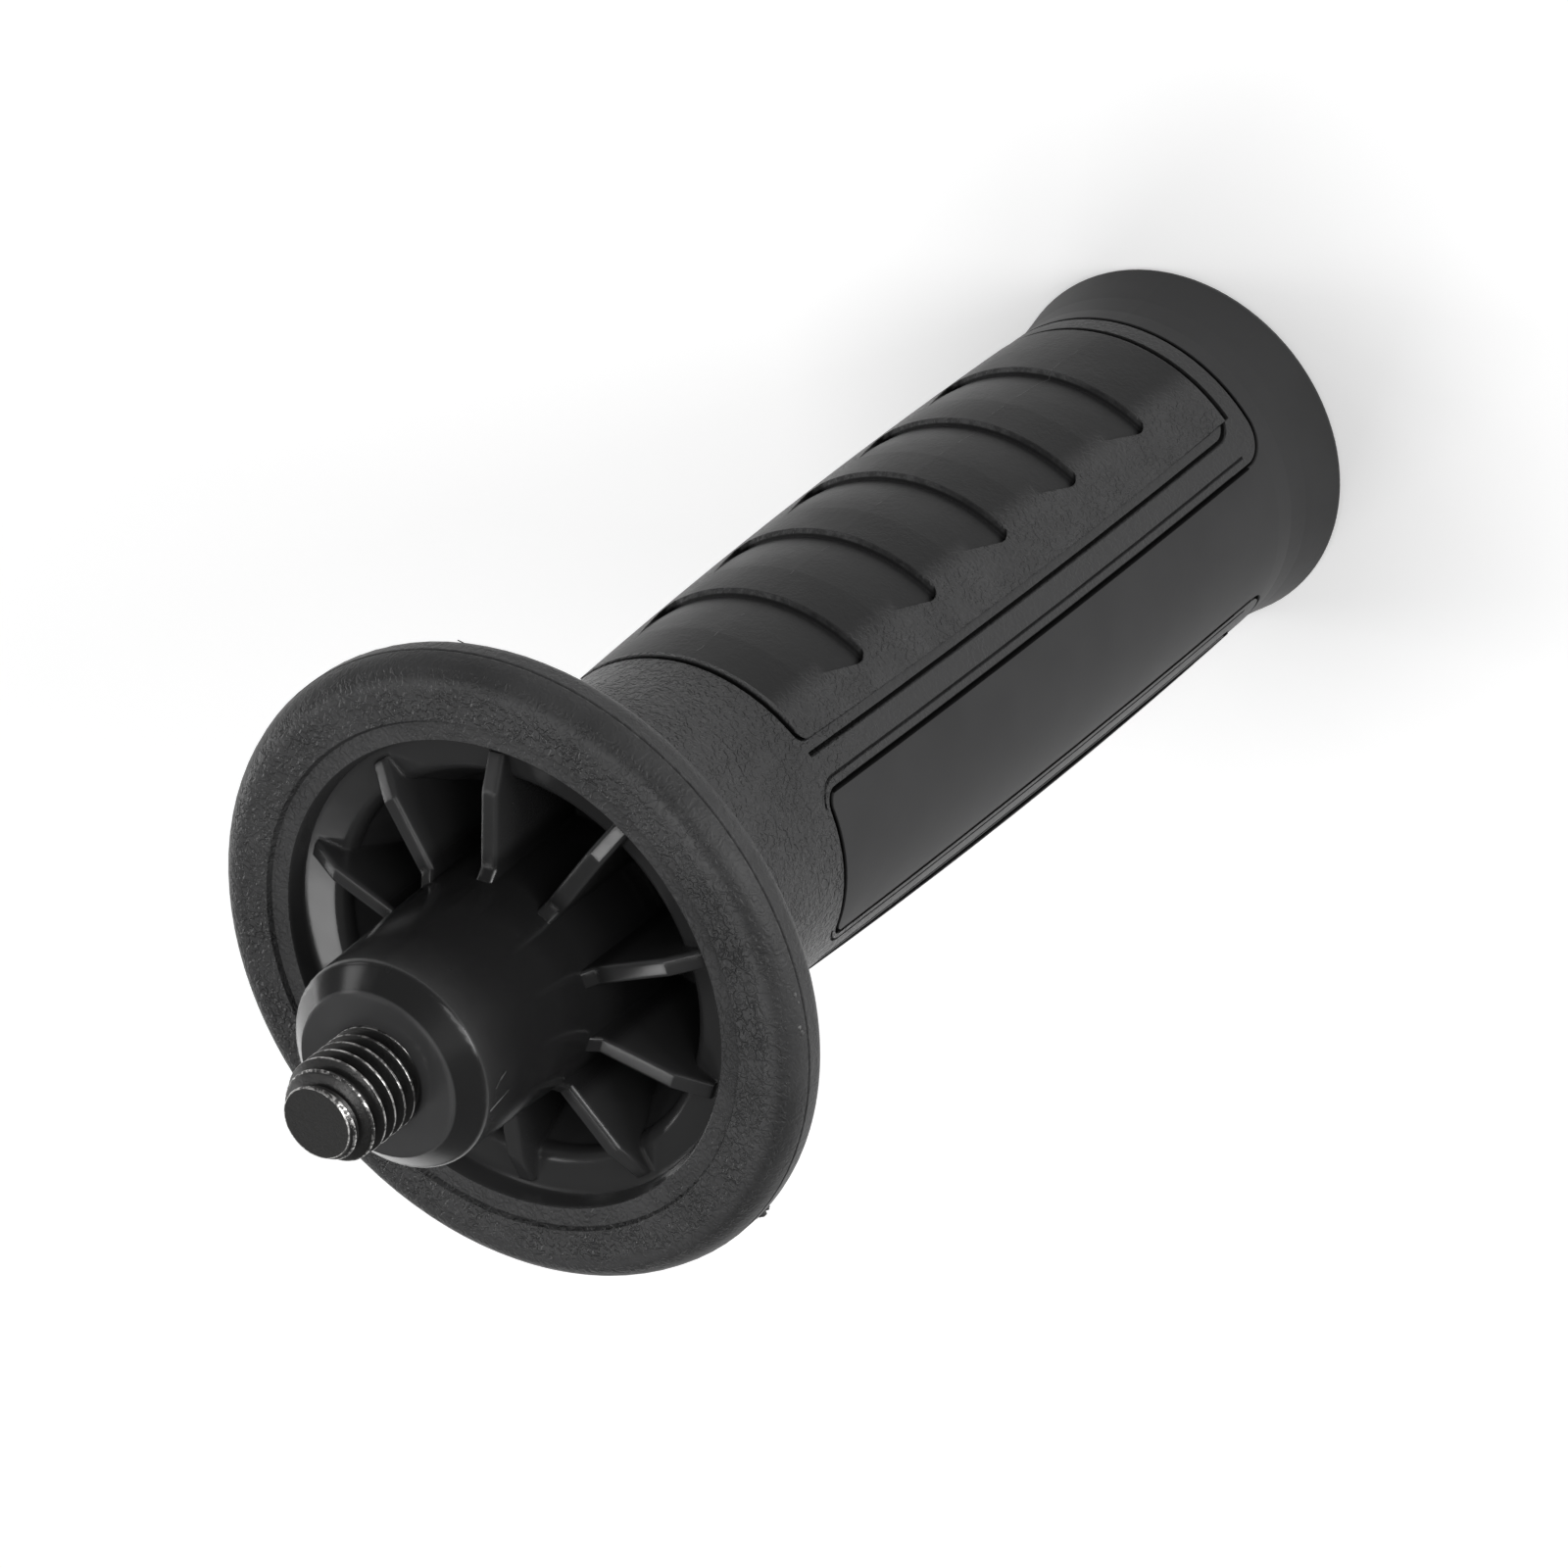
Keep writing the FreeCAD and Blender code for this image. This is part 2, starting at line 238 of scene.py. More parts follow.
# materials
bodyLook = {
    "colour": (0.0300, 0.0300, 0.0305, 1),
    "dusty": (0.0400, 0.0400, 0.0406, 1),
    "gripColour": (0.0330, 0.0330, 0.0335, 1),
    # painted light on the faces turned to the machine
    "paintedFrontLightColour": (0.0620, 0.0620, 0.0629, 1),
    "glossColour": (0.0115, 0.0115, 0.0117, 1),
    # painted light: paler copies of the glossy black for the pocket and the seat face
    "pocketLitColour": (0.0280, 0.0280, 0.0284, 1),
    "seatLitColour": (0.0480, 0.0480, 0.0487, 1),
    # painted shade in the grooves and along the pads' and strips' edges
    "paintedGrooveShade": (0.0010, 0.0010, 0.0010, 1),
    "seamColour": (0.09, 0.09, 0.09, 1),
    "seamShare": 0.6,
    "grainSize": 0.62 * mm,
    "grainDepth": 0.19 * mm,
    # the grain's depth in each place, against grainDepth
    "gripGrain": 0.3,
    "bandGrain": 0.4,
    "frontGrain": 0.65,
    "flankGrain": 1.9,
    "glossGrain": 0.02,
    "patchSize": 4.0 * mm,
    "patchLow": 0.5,
    "cloudSize": 9.0 * mm,
    "waveLength": 4.0 * mm,
    "waveHeight": 0.15 * mm,
    "edgeRadius": 0.15 * mm,
    "softEdgeRadius": 0.75 * mm,            # on the ribs and the nose
    "grainRoughness": 0.34,
    "smoothRoughness": 0.48,
    "glossRoughness": 0.17,
    "noseRoughness": 0.24,
    "grooveRoughness": 0.95,
    "cloudRoughness": 0.12,
    "waveRoughness": 0.15,
    "coat": 0.4,
    "coatRoughness": 0.18,
    "ior": 1.27,
    # places: heights above the floor, radii from the axis, distances from the middle plane of the grip
    "pocketHeight": 120.0 * mm,
    "pocketRadius": 23.8 * mm,
    "coneHeight": 112.0 * mm,
    "coneRadius": 16.0 * mm,
    "coneSlope": 0.62,
    "hubRadius": 11.2 * mm,
    "hubToPocket": (12.0 * mm, 14.0 * mm),
    "hubToNose": (136.0 * mm, 138.0 * mm),
    "noseToSeat": (143.4 * mm, 143.6 * mm),
    "frontHeight": 121.0 * mm,
    "bandRadius": 30.2 * mm,
    "bandHeight": 123.6 * mm,
    "flankStart": (25.4 * mm, 26.2 * mm),
    "flankEnd": (29.4 * mm, 28.4 * mm),
    "gripFront": 92.0 * mm,
    "gripToNeck": (80.0 * mm, 92.5 * mm),   # where the grain grows deeper
    "neckToGrip": (93.0 * mm, 91.0 * mm),   # where the colour changes
    # the edges below carry painted shade lines, along the pad, round its rear end and along the strips
    "padEdge": 11.93 * mm,
    "padLine": (0.13 * mm, 0.065 * mm),
    "padLineShare": 0.7,
    "padEnd": 14.14 * mm,
    "padEndLine": (0.2 * mm, 0.1 * mm),
    "stripEdge": 7.62 * mm,
    "stripLine": (0.3 * mm, 0.15 * mm),
    "straightEdges": (18.0 * mm, 89.0 * mm),
    "seamHeights": (90.0 * mm, 121.0 * mm),
    "seamWidth": 0.09 * mm,
    "seamPieces": 2.5 * mm,
    "seamGaps": 0.5,
    "seamRise": 0.05 * mm,
    "flashHeight": 121.9 * mm,
    "flashRadius": 31.3 * mm,
    "flashLine": (0.28 * mm, 0.1 * mm),
    "flashPieces": 0.9 * mm,
    "flashLimits": (0.46, 0.62),
    "paintedFrontLightFacing": (0.85, 0.99),
    "paintedFrontLightLimits": (0.25, 0.75),
    "paintedFrontLightLow": 0.6,
}


def makeBodyNylon(v):
    # grained on the ring, the neck and the flange, smooth on the strips, glossy on the hub and in the pocket
    material, tree, shader = startMaterial("blackNylon")
    coords, x, y, z, radius = places(tree)
    sideways = calc(tree, "ABSOLUTE", x)
    onGrip = calc(tree, "LESS_THAN", z, v["gripFront"])
    onFront = calc(tree, "GREATER_THAN", z, v["frontHeight"])
    onNose = ramp(tree, z, *v["hubToNose"])

    # inside the pocket's wall: a ring, and a cone that stays between the pocket and the flange's back
    inRing = product(tree, calc(tree, "LESS_THAN", radius, v["pocketRadius"]),
                     calc(tree, "GREATER_THAN", z, v["pocketHeight"]))
    up = calc(tree, "SUBTRACT", z, v["coneHeight"])
    cone = calc(tree, "MULTIPLY_ADD", up, v["coneSlope"], v["coneRadius"])
    inside = largest(tree, inRing, calc(tree, "LESS_THAN", radius, cone))
    glossy = product(tree, inside, calc(tree, "SUBTRACT", 1.0, onGrip))
    inPocket = product(tree, glossy, calc(tree, "GREATER_THAN", radius, v["hubRadius"]))

    # painted shade in the grooves: under the barrel, along the strips and round the rear end of the finger
    # pads
    sunk = ramp(tree, belowBarrel(tree, stripBarrel, z, radius), *moulding["grooveDepth"])
    padLine = product(tree, near(tree, sideways, v["padEdge"], *v["padLine"]), v["padLineShare"])
    stripLine = near(tree, sideways, v["stripEdge"], *v["stripLine"])
    lines = product(tree, largest(tree, padLine, stripLine), between(tree, z, *v["straightEdges"]))
    atEnd = product(tree, near(tree, z, v["padEnd"], *v["padEndLine"]),
                    calc(tree, "GREATER_THAN", sideways, v["padEdge"]))
    groove = product(tree, largest(tree, sunk, lines, atEnd), onGrip)

    # the flange's outer band is smoother than its front, and the inner flank of its bead the roughest
    onBand = product(tree, calc(tree, "GREATER_THAN", radius, v["bandRadius"]),
                     calc(tree, "LESS_THAN", z, v["bandHeight"]))
    onFlank = product(tree, ramp(tree, radius, *v["flankStart"]), ramp(tree, radius, *v["flankEnd"]), onFront)
    grained = product(tree, ramp(tree, z, *v["gripToNeck"], toLow=v["gripGrain"]),
                      blendValue(tree, onBand, 1.0, v["bandGrain"]),
                      blendValue(tree, onFront, 1.0, v["frontGrain"]),
                      blendValue(tree, onFlank, 1.0, v["flankGrain"]))
    depth = product(tree, grained, patches(tree, coords, v["patchSize"], v["patchLow"]),
                    blendValue(tree, glossy, 1.0, v["glossGrain"]))
    rounding = blendValue(tree, largest(tree, onNose, inPocket), v["edgeRadius"], v["softEdgeRadius"])
    grainBump = bump(tree, moldedGrain(tree, coords, v["grainSize"]), v["grainDepth"], depth,
                     softEdges(tree, rounding))
    waves = noise(tree, coords, v["waveLength"], detail=1.0)
    waveBump = bump(tree, waves, v["waveHeight"], moulding["waveStrength"], grainBump)
    seam = product(tree, brokenLine(tree, coords, y, v["seamWidth"], v["seamPieces"], v["seamGaps"]),
                   between(tree, z, *v["seamHeights"]))
    plug(tree, bump(tree, seam, v["seamRise"], under=waveBump), shader.inputs["Normal"])

    # a ragged pale line where the flange's mould parts
    torn = noise(tree, coords, v["flashPieces"], detail=3.0, roughness=0.7)
    flash = product(tree, near(tree, z, v["flashHeight"], *v["flashLine"]),
                    calc(tree, "GREATER_THAN", radius, v["flashRadius"]),
                    ramp(tree, torn, *v["flashLimits"]))
    cloud = noise(tree, coords, v["cloudSize"], detail=3.0, roughness=0.6)
    tint = blendColour(tree, ramp(tree, z, *v["neckToGrip"]), dusted(tree, cloud, v), v["gripColour"])
    pale = product(tree, largest(tree, seam, flash), v["seamShare"])
    tint = blendColour(tree, pale, tint, v["seamColour"])
    # painted light: the faces turned to the machine are painted paler in patches
    paintedFrontLight = product(tree, ramp(tree, facing(tree), *v["paintedFrontLightFacing"]), onFront,
                    ramp(tree, cloud, *v["paintedFrontLightLimits"], toLow=v["paintedFrontLightLow"]))
    tint = blendColour(tree, paintedFrontLight, tint, v["paintedFrontLightColour"])
    # painted light: the pocket and the nose's seat face are painted paler than the hub
    hubTint = blendColour(tree, ramp(tree, radius, *v["hubToPocket"]), v["glossColour"], v["pocketLitColour"])
    hubTint = blendColour(tree, ramp(tree, z, *v["noseToSeat"]), hubTint, v["seatLitColour"])
    tint = blendColour(tree, glossy, tint, hubTint)
    plug(tree, blendColour(tree, groove, tint, v["paintedGrooveShade"]), shader.inputs["Base Color"])

    rough = sway(tree, cloud, v["cloudRoughness"],
                 blendValue(tree, grained, v["smoothRoughness"], v["grainRoughness"]))
    gloss = sway(tree, waves, v["waveRoughness"],
                 blendValue(tree, onNose, v["glossRoughness"], v["noseRoughness"]))
    rough = blendValue(tree, glossy, rough, gloss)
    plug(tree, blendValue(tree, groove, rough, v["grooveRoughness"]), shader.inputs["Roughness"])
    plug(tree, product(tree, glossy, v["coat"]), shader.inputs["Coat Weight"])
    shader.inputs["Coat Roughness"].default_value = v["coatRoughness"]
    shader.inputs["IOR"].default_value = v["ior"]
    return material


padLook = {
    "colour": (0.0310, 0.0310, 0.0315, 1),
    "dusty": (0.0400, 0.0400, 0.0406, 1),
    "scoopColour": (0.0085, 0.0085, 0.0087, 1),
    # painted highlight on the scoops' steps
    "stepHighlightColour": (0.075, 0.075, 0.076, 1),
    # painted shade on the pads' hidden walls
    "paintedGrooveShade": (0.0010, 0.0010, 0.0010, 1),
    "seamColour": (0.08, 0.08, 0.08, 1),
    "seamShare": 0.45,
    "grainSize": 0.6 * mm,
    "grainDepth": 0.13 * mm,
    "scoopGrain": 0.1,                      # against grainDepth
    "stepGrain": 0.5,
    "patchSize": 4.0 * mm,
    "patchLow": 0.4,
    "cloudSize": 7.0 * mm,
    "waveLength": 4.0 * mm,
    "waveHeight": 0.15 * mm,
    "edgeRadius": 0.25 * mm,
    "roughness": 0.38,
    "scoopRoughness": 0.42,
    "grooveRoughness": 0.95,
    "cloudRoughness": 0.15,
    "ior": 1.27,
    # places: heights above the floor, distances from the middle planes, depths under the barrel
    "scoopsFront": 91.0 * mm,
    "scoopSide": (11.0 * mm, 8.2 * mm),
    "scoopDepth": (0.03 * mm, 0.2 * mm),
    "sideWall": 12.15 * mm,
    "frontWall": 91.45 * mm,
    "rearWall": 14.9 * mm,
    "wallDepth": (0.12 * mm, 0.3 * mm),
    "rearEnd": (14.55 * mm, 14.39 * mm),
    "stepFacing": (0.25, 0.5),
    "stepSide": (-6.0 * mm, 1.0 * mm),
    "stepSideLow": 0.3,
    "stepDepth": (0.5 * mm, 0.32 * mm),
    "stepHighlightSize": 0.8 * mm,
    "stepHighlightLimits": (0.38, 0.6),
    "stepHighlightLow": 0.55,
    "seamWidth": 0.07 * mm,
    "seamPieces": 2.2 * mm,
    "seamGaps": 0.52,
    "seamRise": 0.03 * mm,
}


def makePadRubber(v):
    # grained between the scoops, smooth inside them, with painted shade on its hidden side walls and round
    # its rear end
    material, tree, shader = startMaterial("fingerPadRubber")
    coords, x, y, z, radius = places(tree)
    below = belowBarrel(tree, padBarrel, z, radius)
    column = product(tree, ramp(tree, calc(tree, "ABSOLUTE", y), *v["scoopSide"]),
                     calc(tree, "LESS_THAN", z, v["scoopsFront"]))
    inScoop = largest(tree, ramp(tree, below, *v["scoopDepth"]), column)
    sides = calc(tree, "LESS_THAN", calc(tree, "ABSOLUTE", x), v["sideWall"])
    ends = largest(tree, calc(tree, "GREATER_THAN", z, v["frontWall"]),
                   calc(tree, "LESS_THAN", z, v["rearWall"]))
    # painted shade: the side and end walls under the barrel, and the rim at the rear end, are painted dark
    wallShade = product(tree, largest(tree, sides, ends), ramp(tree, below, *v["wallDepth"]))
    wallShade = largest(tree, wallShade, ramp(tree, z, *v["rearEnd"]))
    # painted highlight: the steps at the scoops' far ends are painted pale, most on the +y side
    step = product(tree, ramp(tree, facing(tree), *v["stepFacing"]), calc(tree, "SUBTRACT", 1.0, ends),
                   ramp(tree, y, *v["stepSide"], toLow=v["stepSideLow"]), ramp(tree, below, *v["stepDepth"]))
    ragged = noise(tree, coords, v["stepHighlightSize"], detail=3.0, roughness=0.6)
    stepHighlight = product(tree, step, ramp(tree, ragged, *v["stepHighlightLimits"], toLow=v["stepHighlightLow"]))

    depth = product(tree, patches(tree, coords, v["patchSize"], v["patchLow"]),
                    blendValue(tree, inScoop, 1.0, v["scoopGrain"]))
    depth = largest(tree, depth, product(tree, step, v["stepGrain"]))
    grainBump = bump(tree, moldedGrain(tree, coords, v["grainSize"]), v["grainDepth"], depth,
                     softEdges(tree, v["edgeRadius"]))
    waves = noise(tree, coords, v["waveLength"], detail=1.0)
    waveBump = bump(tree, waves, v["waveHeight"], moulding["waveStrength"], grainBump)
    seam = brokenLine(tree, coords, y, v["seamWidth"], v["seamPieces"], v["seamGaps"])
    plug(tree, bump(tree, seam, v["seamRise"], under=waveBump), shader.inputs["Normal"])

    cloud = noise(tree, coords, v["cloudSize"], detail=3.0, roughness=0.6)
    tint = blendColour(tree, inScoop, dusted(tree, cloud, v), v["scoopColour"])
    tint = blendColour(tree, product(tree, seam, v["seamShare"]), tint, v["seamColour"])
    tint = blendColour(tree, stepHighlight, tint, v["stepHighlightColour"])
    plug(tree, blendColour(tree, wallShade, tint, v["paintedGrooveShade"]), shader.inputs["Base Color"])
    rough = sway(tree, cloud, v["cloudRoughness"],
                 blendValue(tree, inScoop, v["roughness"], v["scoopRoughness"]))
    plug(tree, blendValue(tree, wallShade, rough, v["grooveRoughness"]), shader.inputs["Roughness"])
    shader.inputs["IOR"].default_value = v["ior"]
    return material


sleeveLook = {
    "colour": (0.0310, 0.0310, 0.0315, 1),
    "dusty": (0.0360, 0.0360, 0.0365, 1),
    # painted shade in the grooves round the sleeve
    "paintedGrooveShade": (0.0010, 0.0010, 0.0010, 1),
    "grainSize": 0.3 * mm,
    "grainDepth": 0.012 * mm,
    "grainStrength": 0.5,
    "cloudSize": 12.0 * mm,
    "waveLength": 8.0 * mm,
    "waveHeight": 0.25 * mm,
    "edgeRadius": 0.2 * mm,
    "roughness": 0.44,
    "grooveRoughness": 0.9,
    "cloudRoughness": 0.12,
    "ior": 1.18,
    # places: heights above the floor and the distance from the middle plane
    "groovesFrom": 11.0 * mm,
    "edge": 7.4 * mm,
    "edgeLine": (0.14 * mm, 0.07 * mm),
    "edgeFrom": 15.0 * mm,
}


def makeSleeveRubber(v):
    # smooth satin rubber with a faint haze and painted shade on the walls in the grooves round it
    material, tree, shader = startMaterial("smoothSleeveRubber")
    coords, x, _, z, radius = places(tree)
    sunk = product(tree, calc(tree, "GREATER_THAN", z, v["groovesFrom"]),
                   ramp(tree, belowBarrel(tree, stripBarrel, z, radius), *moulding["grooveDepth"]))
    # painted shade lines along the strips' edges
    rim = product(tree, near(tree, calc(tree, "ABSOLUTE", x), v["edge"], *v["edgeLine"]),
                  calc(tree, "GREATER_THAN", z, v["edgeFrom"]))
    groove = largest(tree, sunk, rim)
    grainBump = bump(tree, noise(tree, coords, v["grainSize"]), v["grainDepth"], v["grainStrength"],
                     softEdges(tree, v["edgeRadius"]))
    waves = noise(tree, coords, v["waveLength"], detail=1.0)
    waveBump = bump(tree, waves, v["waveHeight"], moulding["waveStrength"], grainBump)
    plug(tree, waveBump, shader.inputs["Normal"])
    cloud = noise(tree, coords, v["cloudSize"])
    tint = dusted(tree, cloud, v)
    plug(tree, blendColour(tree, groove, tint, v["paintedGrooveShade"]), shader.inputs["Base Color"])
    rough = sway(tree, cloud, v["cloudRoughness"], v["roughness"])
    plug(tree, blendValue(tree, groove, rough, v["grooveRoughness"]), shader.inputs["Roughness"])
    shader.inputs["IOR"].default_value = v["ior"]
    return material


studLook = {
    "oxide": (0.055, 0.0545, 0.054, 1),
    "worn": (0.62, 0.61, 0.60, 1),
    "tipColour": (0.050, 0.0496, 0.0491, 1),
    "patchSize": 0.8 * mm,
    "chipSize": 0.35 * mm,
    "scratchSize": 0.25 * mm,
    "scratchDepth": 0.05 * mm,
    "scratchStrength": 0.6,
    "scratchRoughness": 0.12,
    "rootRoughness": 0.33,
    "crestRoughness": 0.25,
    "tipRoughness": 0.45,
    "crest": (4.92 * mm, 4.995 * mm),       # radii between which the crests' wear begins
    "crestLimits": (0.42, 0.58),
    "crestLow": 0.1,
    "tipHeight": 152.9 * mm,
    "tipDepth": 0.02 * mm,
    "tipRadius": 3.5 * mm,
    "coneSlope": 0.625,
    "coneSkin": (0.06 * mm, 0.02 * mm),
    "coneHeights": (150.4 * mm, 150.8 * mm),
    "chipLimits": (0.48, 0.6),
    "chipShares": (0.05, 0.9),
    "rimWidth": (0.12 * mm, 0.04 * mm),
    "rimHeights": (152.7 * mm, 152.85 * mm),
    "rimLimits": (0.4, 0.55),
    "rimLow": 0.15,
}


def makeStudSteel(v):
    # black oxide in the roots, rubbed bright on the crests and chipped round the tip
    material, tree, shader = startMaterial("blackOxideSteel")
    coords, _, _, z, radius = places(tree)
    patch = noise(tree, coords, v["patchSize"], detail=4.0, roughness=0.65)
    chips = noise(tree, coords, v["chipSize"], detail=3.0, roughness=0.6)
    scratch = noise(tree, coords, v["scratchSize"], detail=3.0, roughness=0.6)
    worn = product(tree, ramp(tree, radius, *v["crest"]),
                   ramp(tree, patch, *v["crestLimits"], toLow=v["crestLow"]))
    # the first thread where the tip's cone has cut it, and the rim of the tip face
    down = calc(tree, "SUBTRACT", v["tipHeight"], z)
    cone = calc(tree, "MULTIPLY_ADD", down, v["coneSlope"], v["tipRadius"])
    cut = product(tree, ramp(tree, calc(tree, "SUBTRACT", cone, radius), *v["coneSkin"]),
                  ramp(tree, z, *v["coneHeights"]), ramp(tree, chips, *v["chipLimits"], *v["chipShares"]))
    rim = product(tree, near(tree, radius, v["tipRadius"], *v["rimWidth"]), ramp(tree, z, *v["rimHeights"]),
                  ramp(tree, patch, *v["rimLimits"], toLow=v["rimLow"]))
    onTip = calc(tree, "GREATER_THAN", z, v["tipHeight"] - v["tipDepth"])
    share = calc(tree, "MAXIMUM", largest(tree, worn, cut), rim, clamp=True)
    base = blendColour(tree, onTip, v["oxide"], v["tipColour"])
    plug(tree, blendColour(tree, share, base, v["worn"]), shader.inputs["Base Color"])
    shader.inputs["Metallic"].default_value = 1.0
    plain = blendValue(tree, onTip, v["rootRoughness"], v["tipRoughness"])
    rough = blendValue(tree, share, plain, v["crestRoughness"])
    plug(tree, calc(tree, "MULTIPLY_ADD", scratch, v["scratchRoughness"], rough), shader.inputs["Roughness"])
    marks = bump(tree, calc(tree, "ADD", scratch, patch), v["scratchDepth"], v["scratchStrength"])
    plug(tree, marks, shader.inputs["Normal"])
    return material


flashLook = {
    "colour": (0.09, 0.09, 0.09, 1),
    "dark": (0.03, 0.03, 0.03, 1),
    "cloudSize": 1.2 * mm,
    "cloudLimits": (0.4, 0.65),
    "cloudRoughness": 0.2,
    "roughness": 0.35,
    "grainSize": 0.3 * mm,
    "grainDepth": 0.03 * mm,
    "grainStrength": 0.8,
}


def makeFlashNylon(v):
    # thin torn edges of the same nylon, a little paler
    material, tree, shader = startMaterial("flashNylon")
    coords = tree.nodes.new("ShaderNodeTexCoord").outputs["Object"]
    cloud = noise(tree, coords, v["cloudSize"], detail=3.0, roughness=0.6)
    tint = blendColour(tree, ramp(tree, cloud, *v["cloudLimits"]), v["dark"], v["colour"])
    plug(tree, tint, shader.inputs["Base Color"])
    rough = calc(tree, "MULTIPLY_ADD", cloud, v["cloudRoughness"], v["roughness"])
    plug(tree, rough, shader.inputs["Roughness"])
    grain = noise(tree, coords, v["grainSize"])
    plug(tree, bump(tree, grain, v["grainDepth"], v["grainStrength"]), shader.inputs["Normal"])
    return material


def dress(piece, material):
    piece.data.materials.clear()
    piece.data.materials.append(material)


bodyNylon = makeBodyNylon(bodyLook)
padRubber = makePadRubber(padLook)
sleeveRubber = makeSleeveRubber(sleeveLook)
studSteel = makeStudSteel(studLook)
flashNylon = makeFlashNylon(flashLook)
dress(nodes["handle_body"], bodyNylon)
dress(nodes["finger_pad_top"], padRubber)
dress(nodes["finger_pad_bottom"], padRubber)
dress(nodes["grip_sleeve"], sleeveRubber)
print("materials on the moulded pieces")


# pieces modelled here
def turnAbout(bm, verts, matrix):
    bmesh.ops.rotate(bm, verts=verts, cent=(0, 0, 0), matrix=matrix)


def finishPiece(name, bm, material, smoothAngle):
    bmesh.ops.recalc_face_normals(bm, faces=bm.faces)
    mesh = bpy.data.meshes.new(name)
    bm.to_mesh(mesh)
    bm.free()
    mesh.materials.append(material)
    piece = bpy.data.objects.new(name, mesh)
    bpy.context.scene.collection.objects.link(piece)
    mesh.shade_smooth()
    mesh.set_sharp_from_angle(angle=math.radians(smoothAngle))
    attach(piece, "root")
    return piece


stud = {
    "pitch": 1.5 * mm,
    "crestRadius": 5.0 * mm,
    "rootRadius": 4.08 * mm,
    "crestFlat": 0.2 * mm,
    "rootFlat": 0.28 * mm,
    "crestRound": (0.03 * mm, 0.02 * mm),   # how far the crest's corners are cut, inwards and along
    "tip": 152.9 * mm,
    "tipRadius": 3.5 * mm,
    "chamfer": 2.4 * mm,
    "tipGroove": 0.9,
    "grooveFade": 0.7 * mm,
    "bottom": 141.6 * mm,
    "crestHeight": 149.6 * mm,              # a crest's height on the side at azimuth crestAzimuth
    "crestAzimuth": -45.3,
    "stepsPerTurn": 96,
    "spareTurns": 2,
    "turnsAboveCrest": 3,
    "weld": 0.002 * mm,
    "shankRadius": 4.55 * mm,
    "shankBottom": 103.0 * mm,
    "shankSides": 48,
    "shankOverlap": 0.5 * mm,
    "headWidth": 16.8 * mm,
    "headBottom": 96.6 * mm,
    "headOverlap": 0.1 * mm,
    "smoothAngle": 28,
}


def threadProfile(bm, v):
    # one pitch of the thread, from root to root, as a chain of edges at azimuth 0
    root, crest = v["rootRadius"], v["crestRadius"]
    inwards, along = v["crestRound"]
    flank = (v["pitch"] - v["crestFlat"] - v["rootFlat"]) / 2
    crestStart = v["rootFlat"] / 2 + flank
    crestEnd = crestStart + v["crestFlat"]
    corners = [
        (root, -v["rootFlat"] / 2),
        (root, v["rootFlat"] / 2),
        (crest - inwards, crestStart - along),
        (crest, crestStart + inwards),
        (crest, crestEnd - inwards),
        (crest - inwards, crestEnd + along),
        (root, v["pitch"] - v["rootFlat"] / 2),
    ]
    verts = [bm.verts.new((radius, 0, height)) for radius, height in corners]
    return [bm.edges.new(pair) for pair in zip(verts, verts[1:])]


def addPost(bm, sides, radius, low, high):
    # an upright round or hexagonal bar between two heights
    post = bmesh.ops.create_cone(
        bm, cap_ends=True, segments=sides, radius1=radius, radius2=radius, depth=high - low)
    bmesh.ops.translate(bm, verts=post["verts"], vec=(0, 0, (high + low) / 2))


def makeStud(v):
    bm = bmesh.new()
    chain = threadProfile(bm, v)
    # both flanks get more points, so that they can bend where the tip's cone meets them
    bmesh.ops.subdivide_edges(bm, edges=[chain[1], chain[5]], cuts=3, use_grid_fill=False)
    turns = math.ceil((v["tip"] - v["bottom"]) / v["pitch"]) + v["spareTurns"]
    bmesh.ops.spin(
        bm, geom=bm.verts[:] + bm.edges[:], cent=(0, 0, 0), axis=(0, 0, 1),
        dvec=(0, 0, v["pitch"] / v["stepsPerTurn"]), angle=math.tau * turns,
        steps=v["stepsPerTurn"] * turns, use_merge=False, use_duplicate=False)
    bmesh.ops.remove_doubles(bm, verts=bm.verts, dist=v["weld"])
    # the crest's middle lies half a pitch above the root where the profile starts
    start = v["crestHeight"] - v["pitch"] * (0.5 + turns - v["turnsAboveCrest"])
    turnAbout(bm, bm.verts, Matrix.Rotation(math.radians(v["crestAzimuth"]), 3, "Z"))
    bmesh.ops.translate(bm, verts=bm.verts, vec=(0, 0, start))
    for height, keepBelow in ((v["tip"], True), (v["bottom"], False)):
        cut = bmesh.ops.bisect_plane(
            bm, geom=bm.verts[:] + bm.edges[:] + bm.faces[:], dist=1e-7, plane_co=(0, 0, height),
            plane_no=(0, 0, 1), clear_outer=keepBelow, clear_inner=not keepBelow)
        rim = [e for e in cut["geom_cut"] if isinstance(e, bmesh.types.BMEdge)]
        bmesh.ops.edgeloop_fill(bm, edges=rim)
    # the crests that stand beyond the tip's cone are pulled in to it, and the roots keep a shallow groove
    slope = (v["crestRadius"] - v["tipRadius"]) / v["chamfer"]
    for vert in bm.verts:
        radius = vert.co.xy.length
        down = v["tip"] - vert.co.z
        groove = v["tipGroove"] * min(1, down / v["grooveFade"]) * (v["crestRadius"] - radius)
        limit = v["tipRadius"] + down * slope - groove
        if radius > limit:
            vert.co.xy *= limit / radius
    addPost(bm, v["shankSides"], v["shankRadius"], v["shankBottom"], v["bottom"] + v["shankOverlap"])
    headRadius = v["headWidth"] / 2 / math.cos(math.radians(30))
    addPost(bm, 6, headRadius, v["headBottom"], v["shankBottom"] + v["headOverlap"])
    piece = finishPiece("threadedStud", bm, studSteel, v["smoothAngle"])
    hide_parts("threaded_stud")


makeStud(stud)
print("threaded stud")


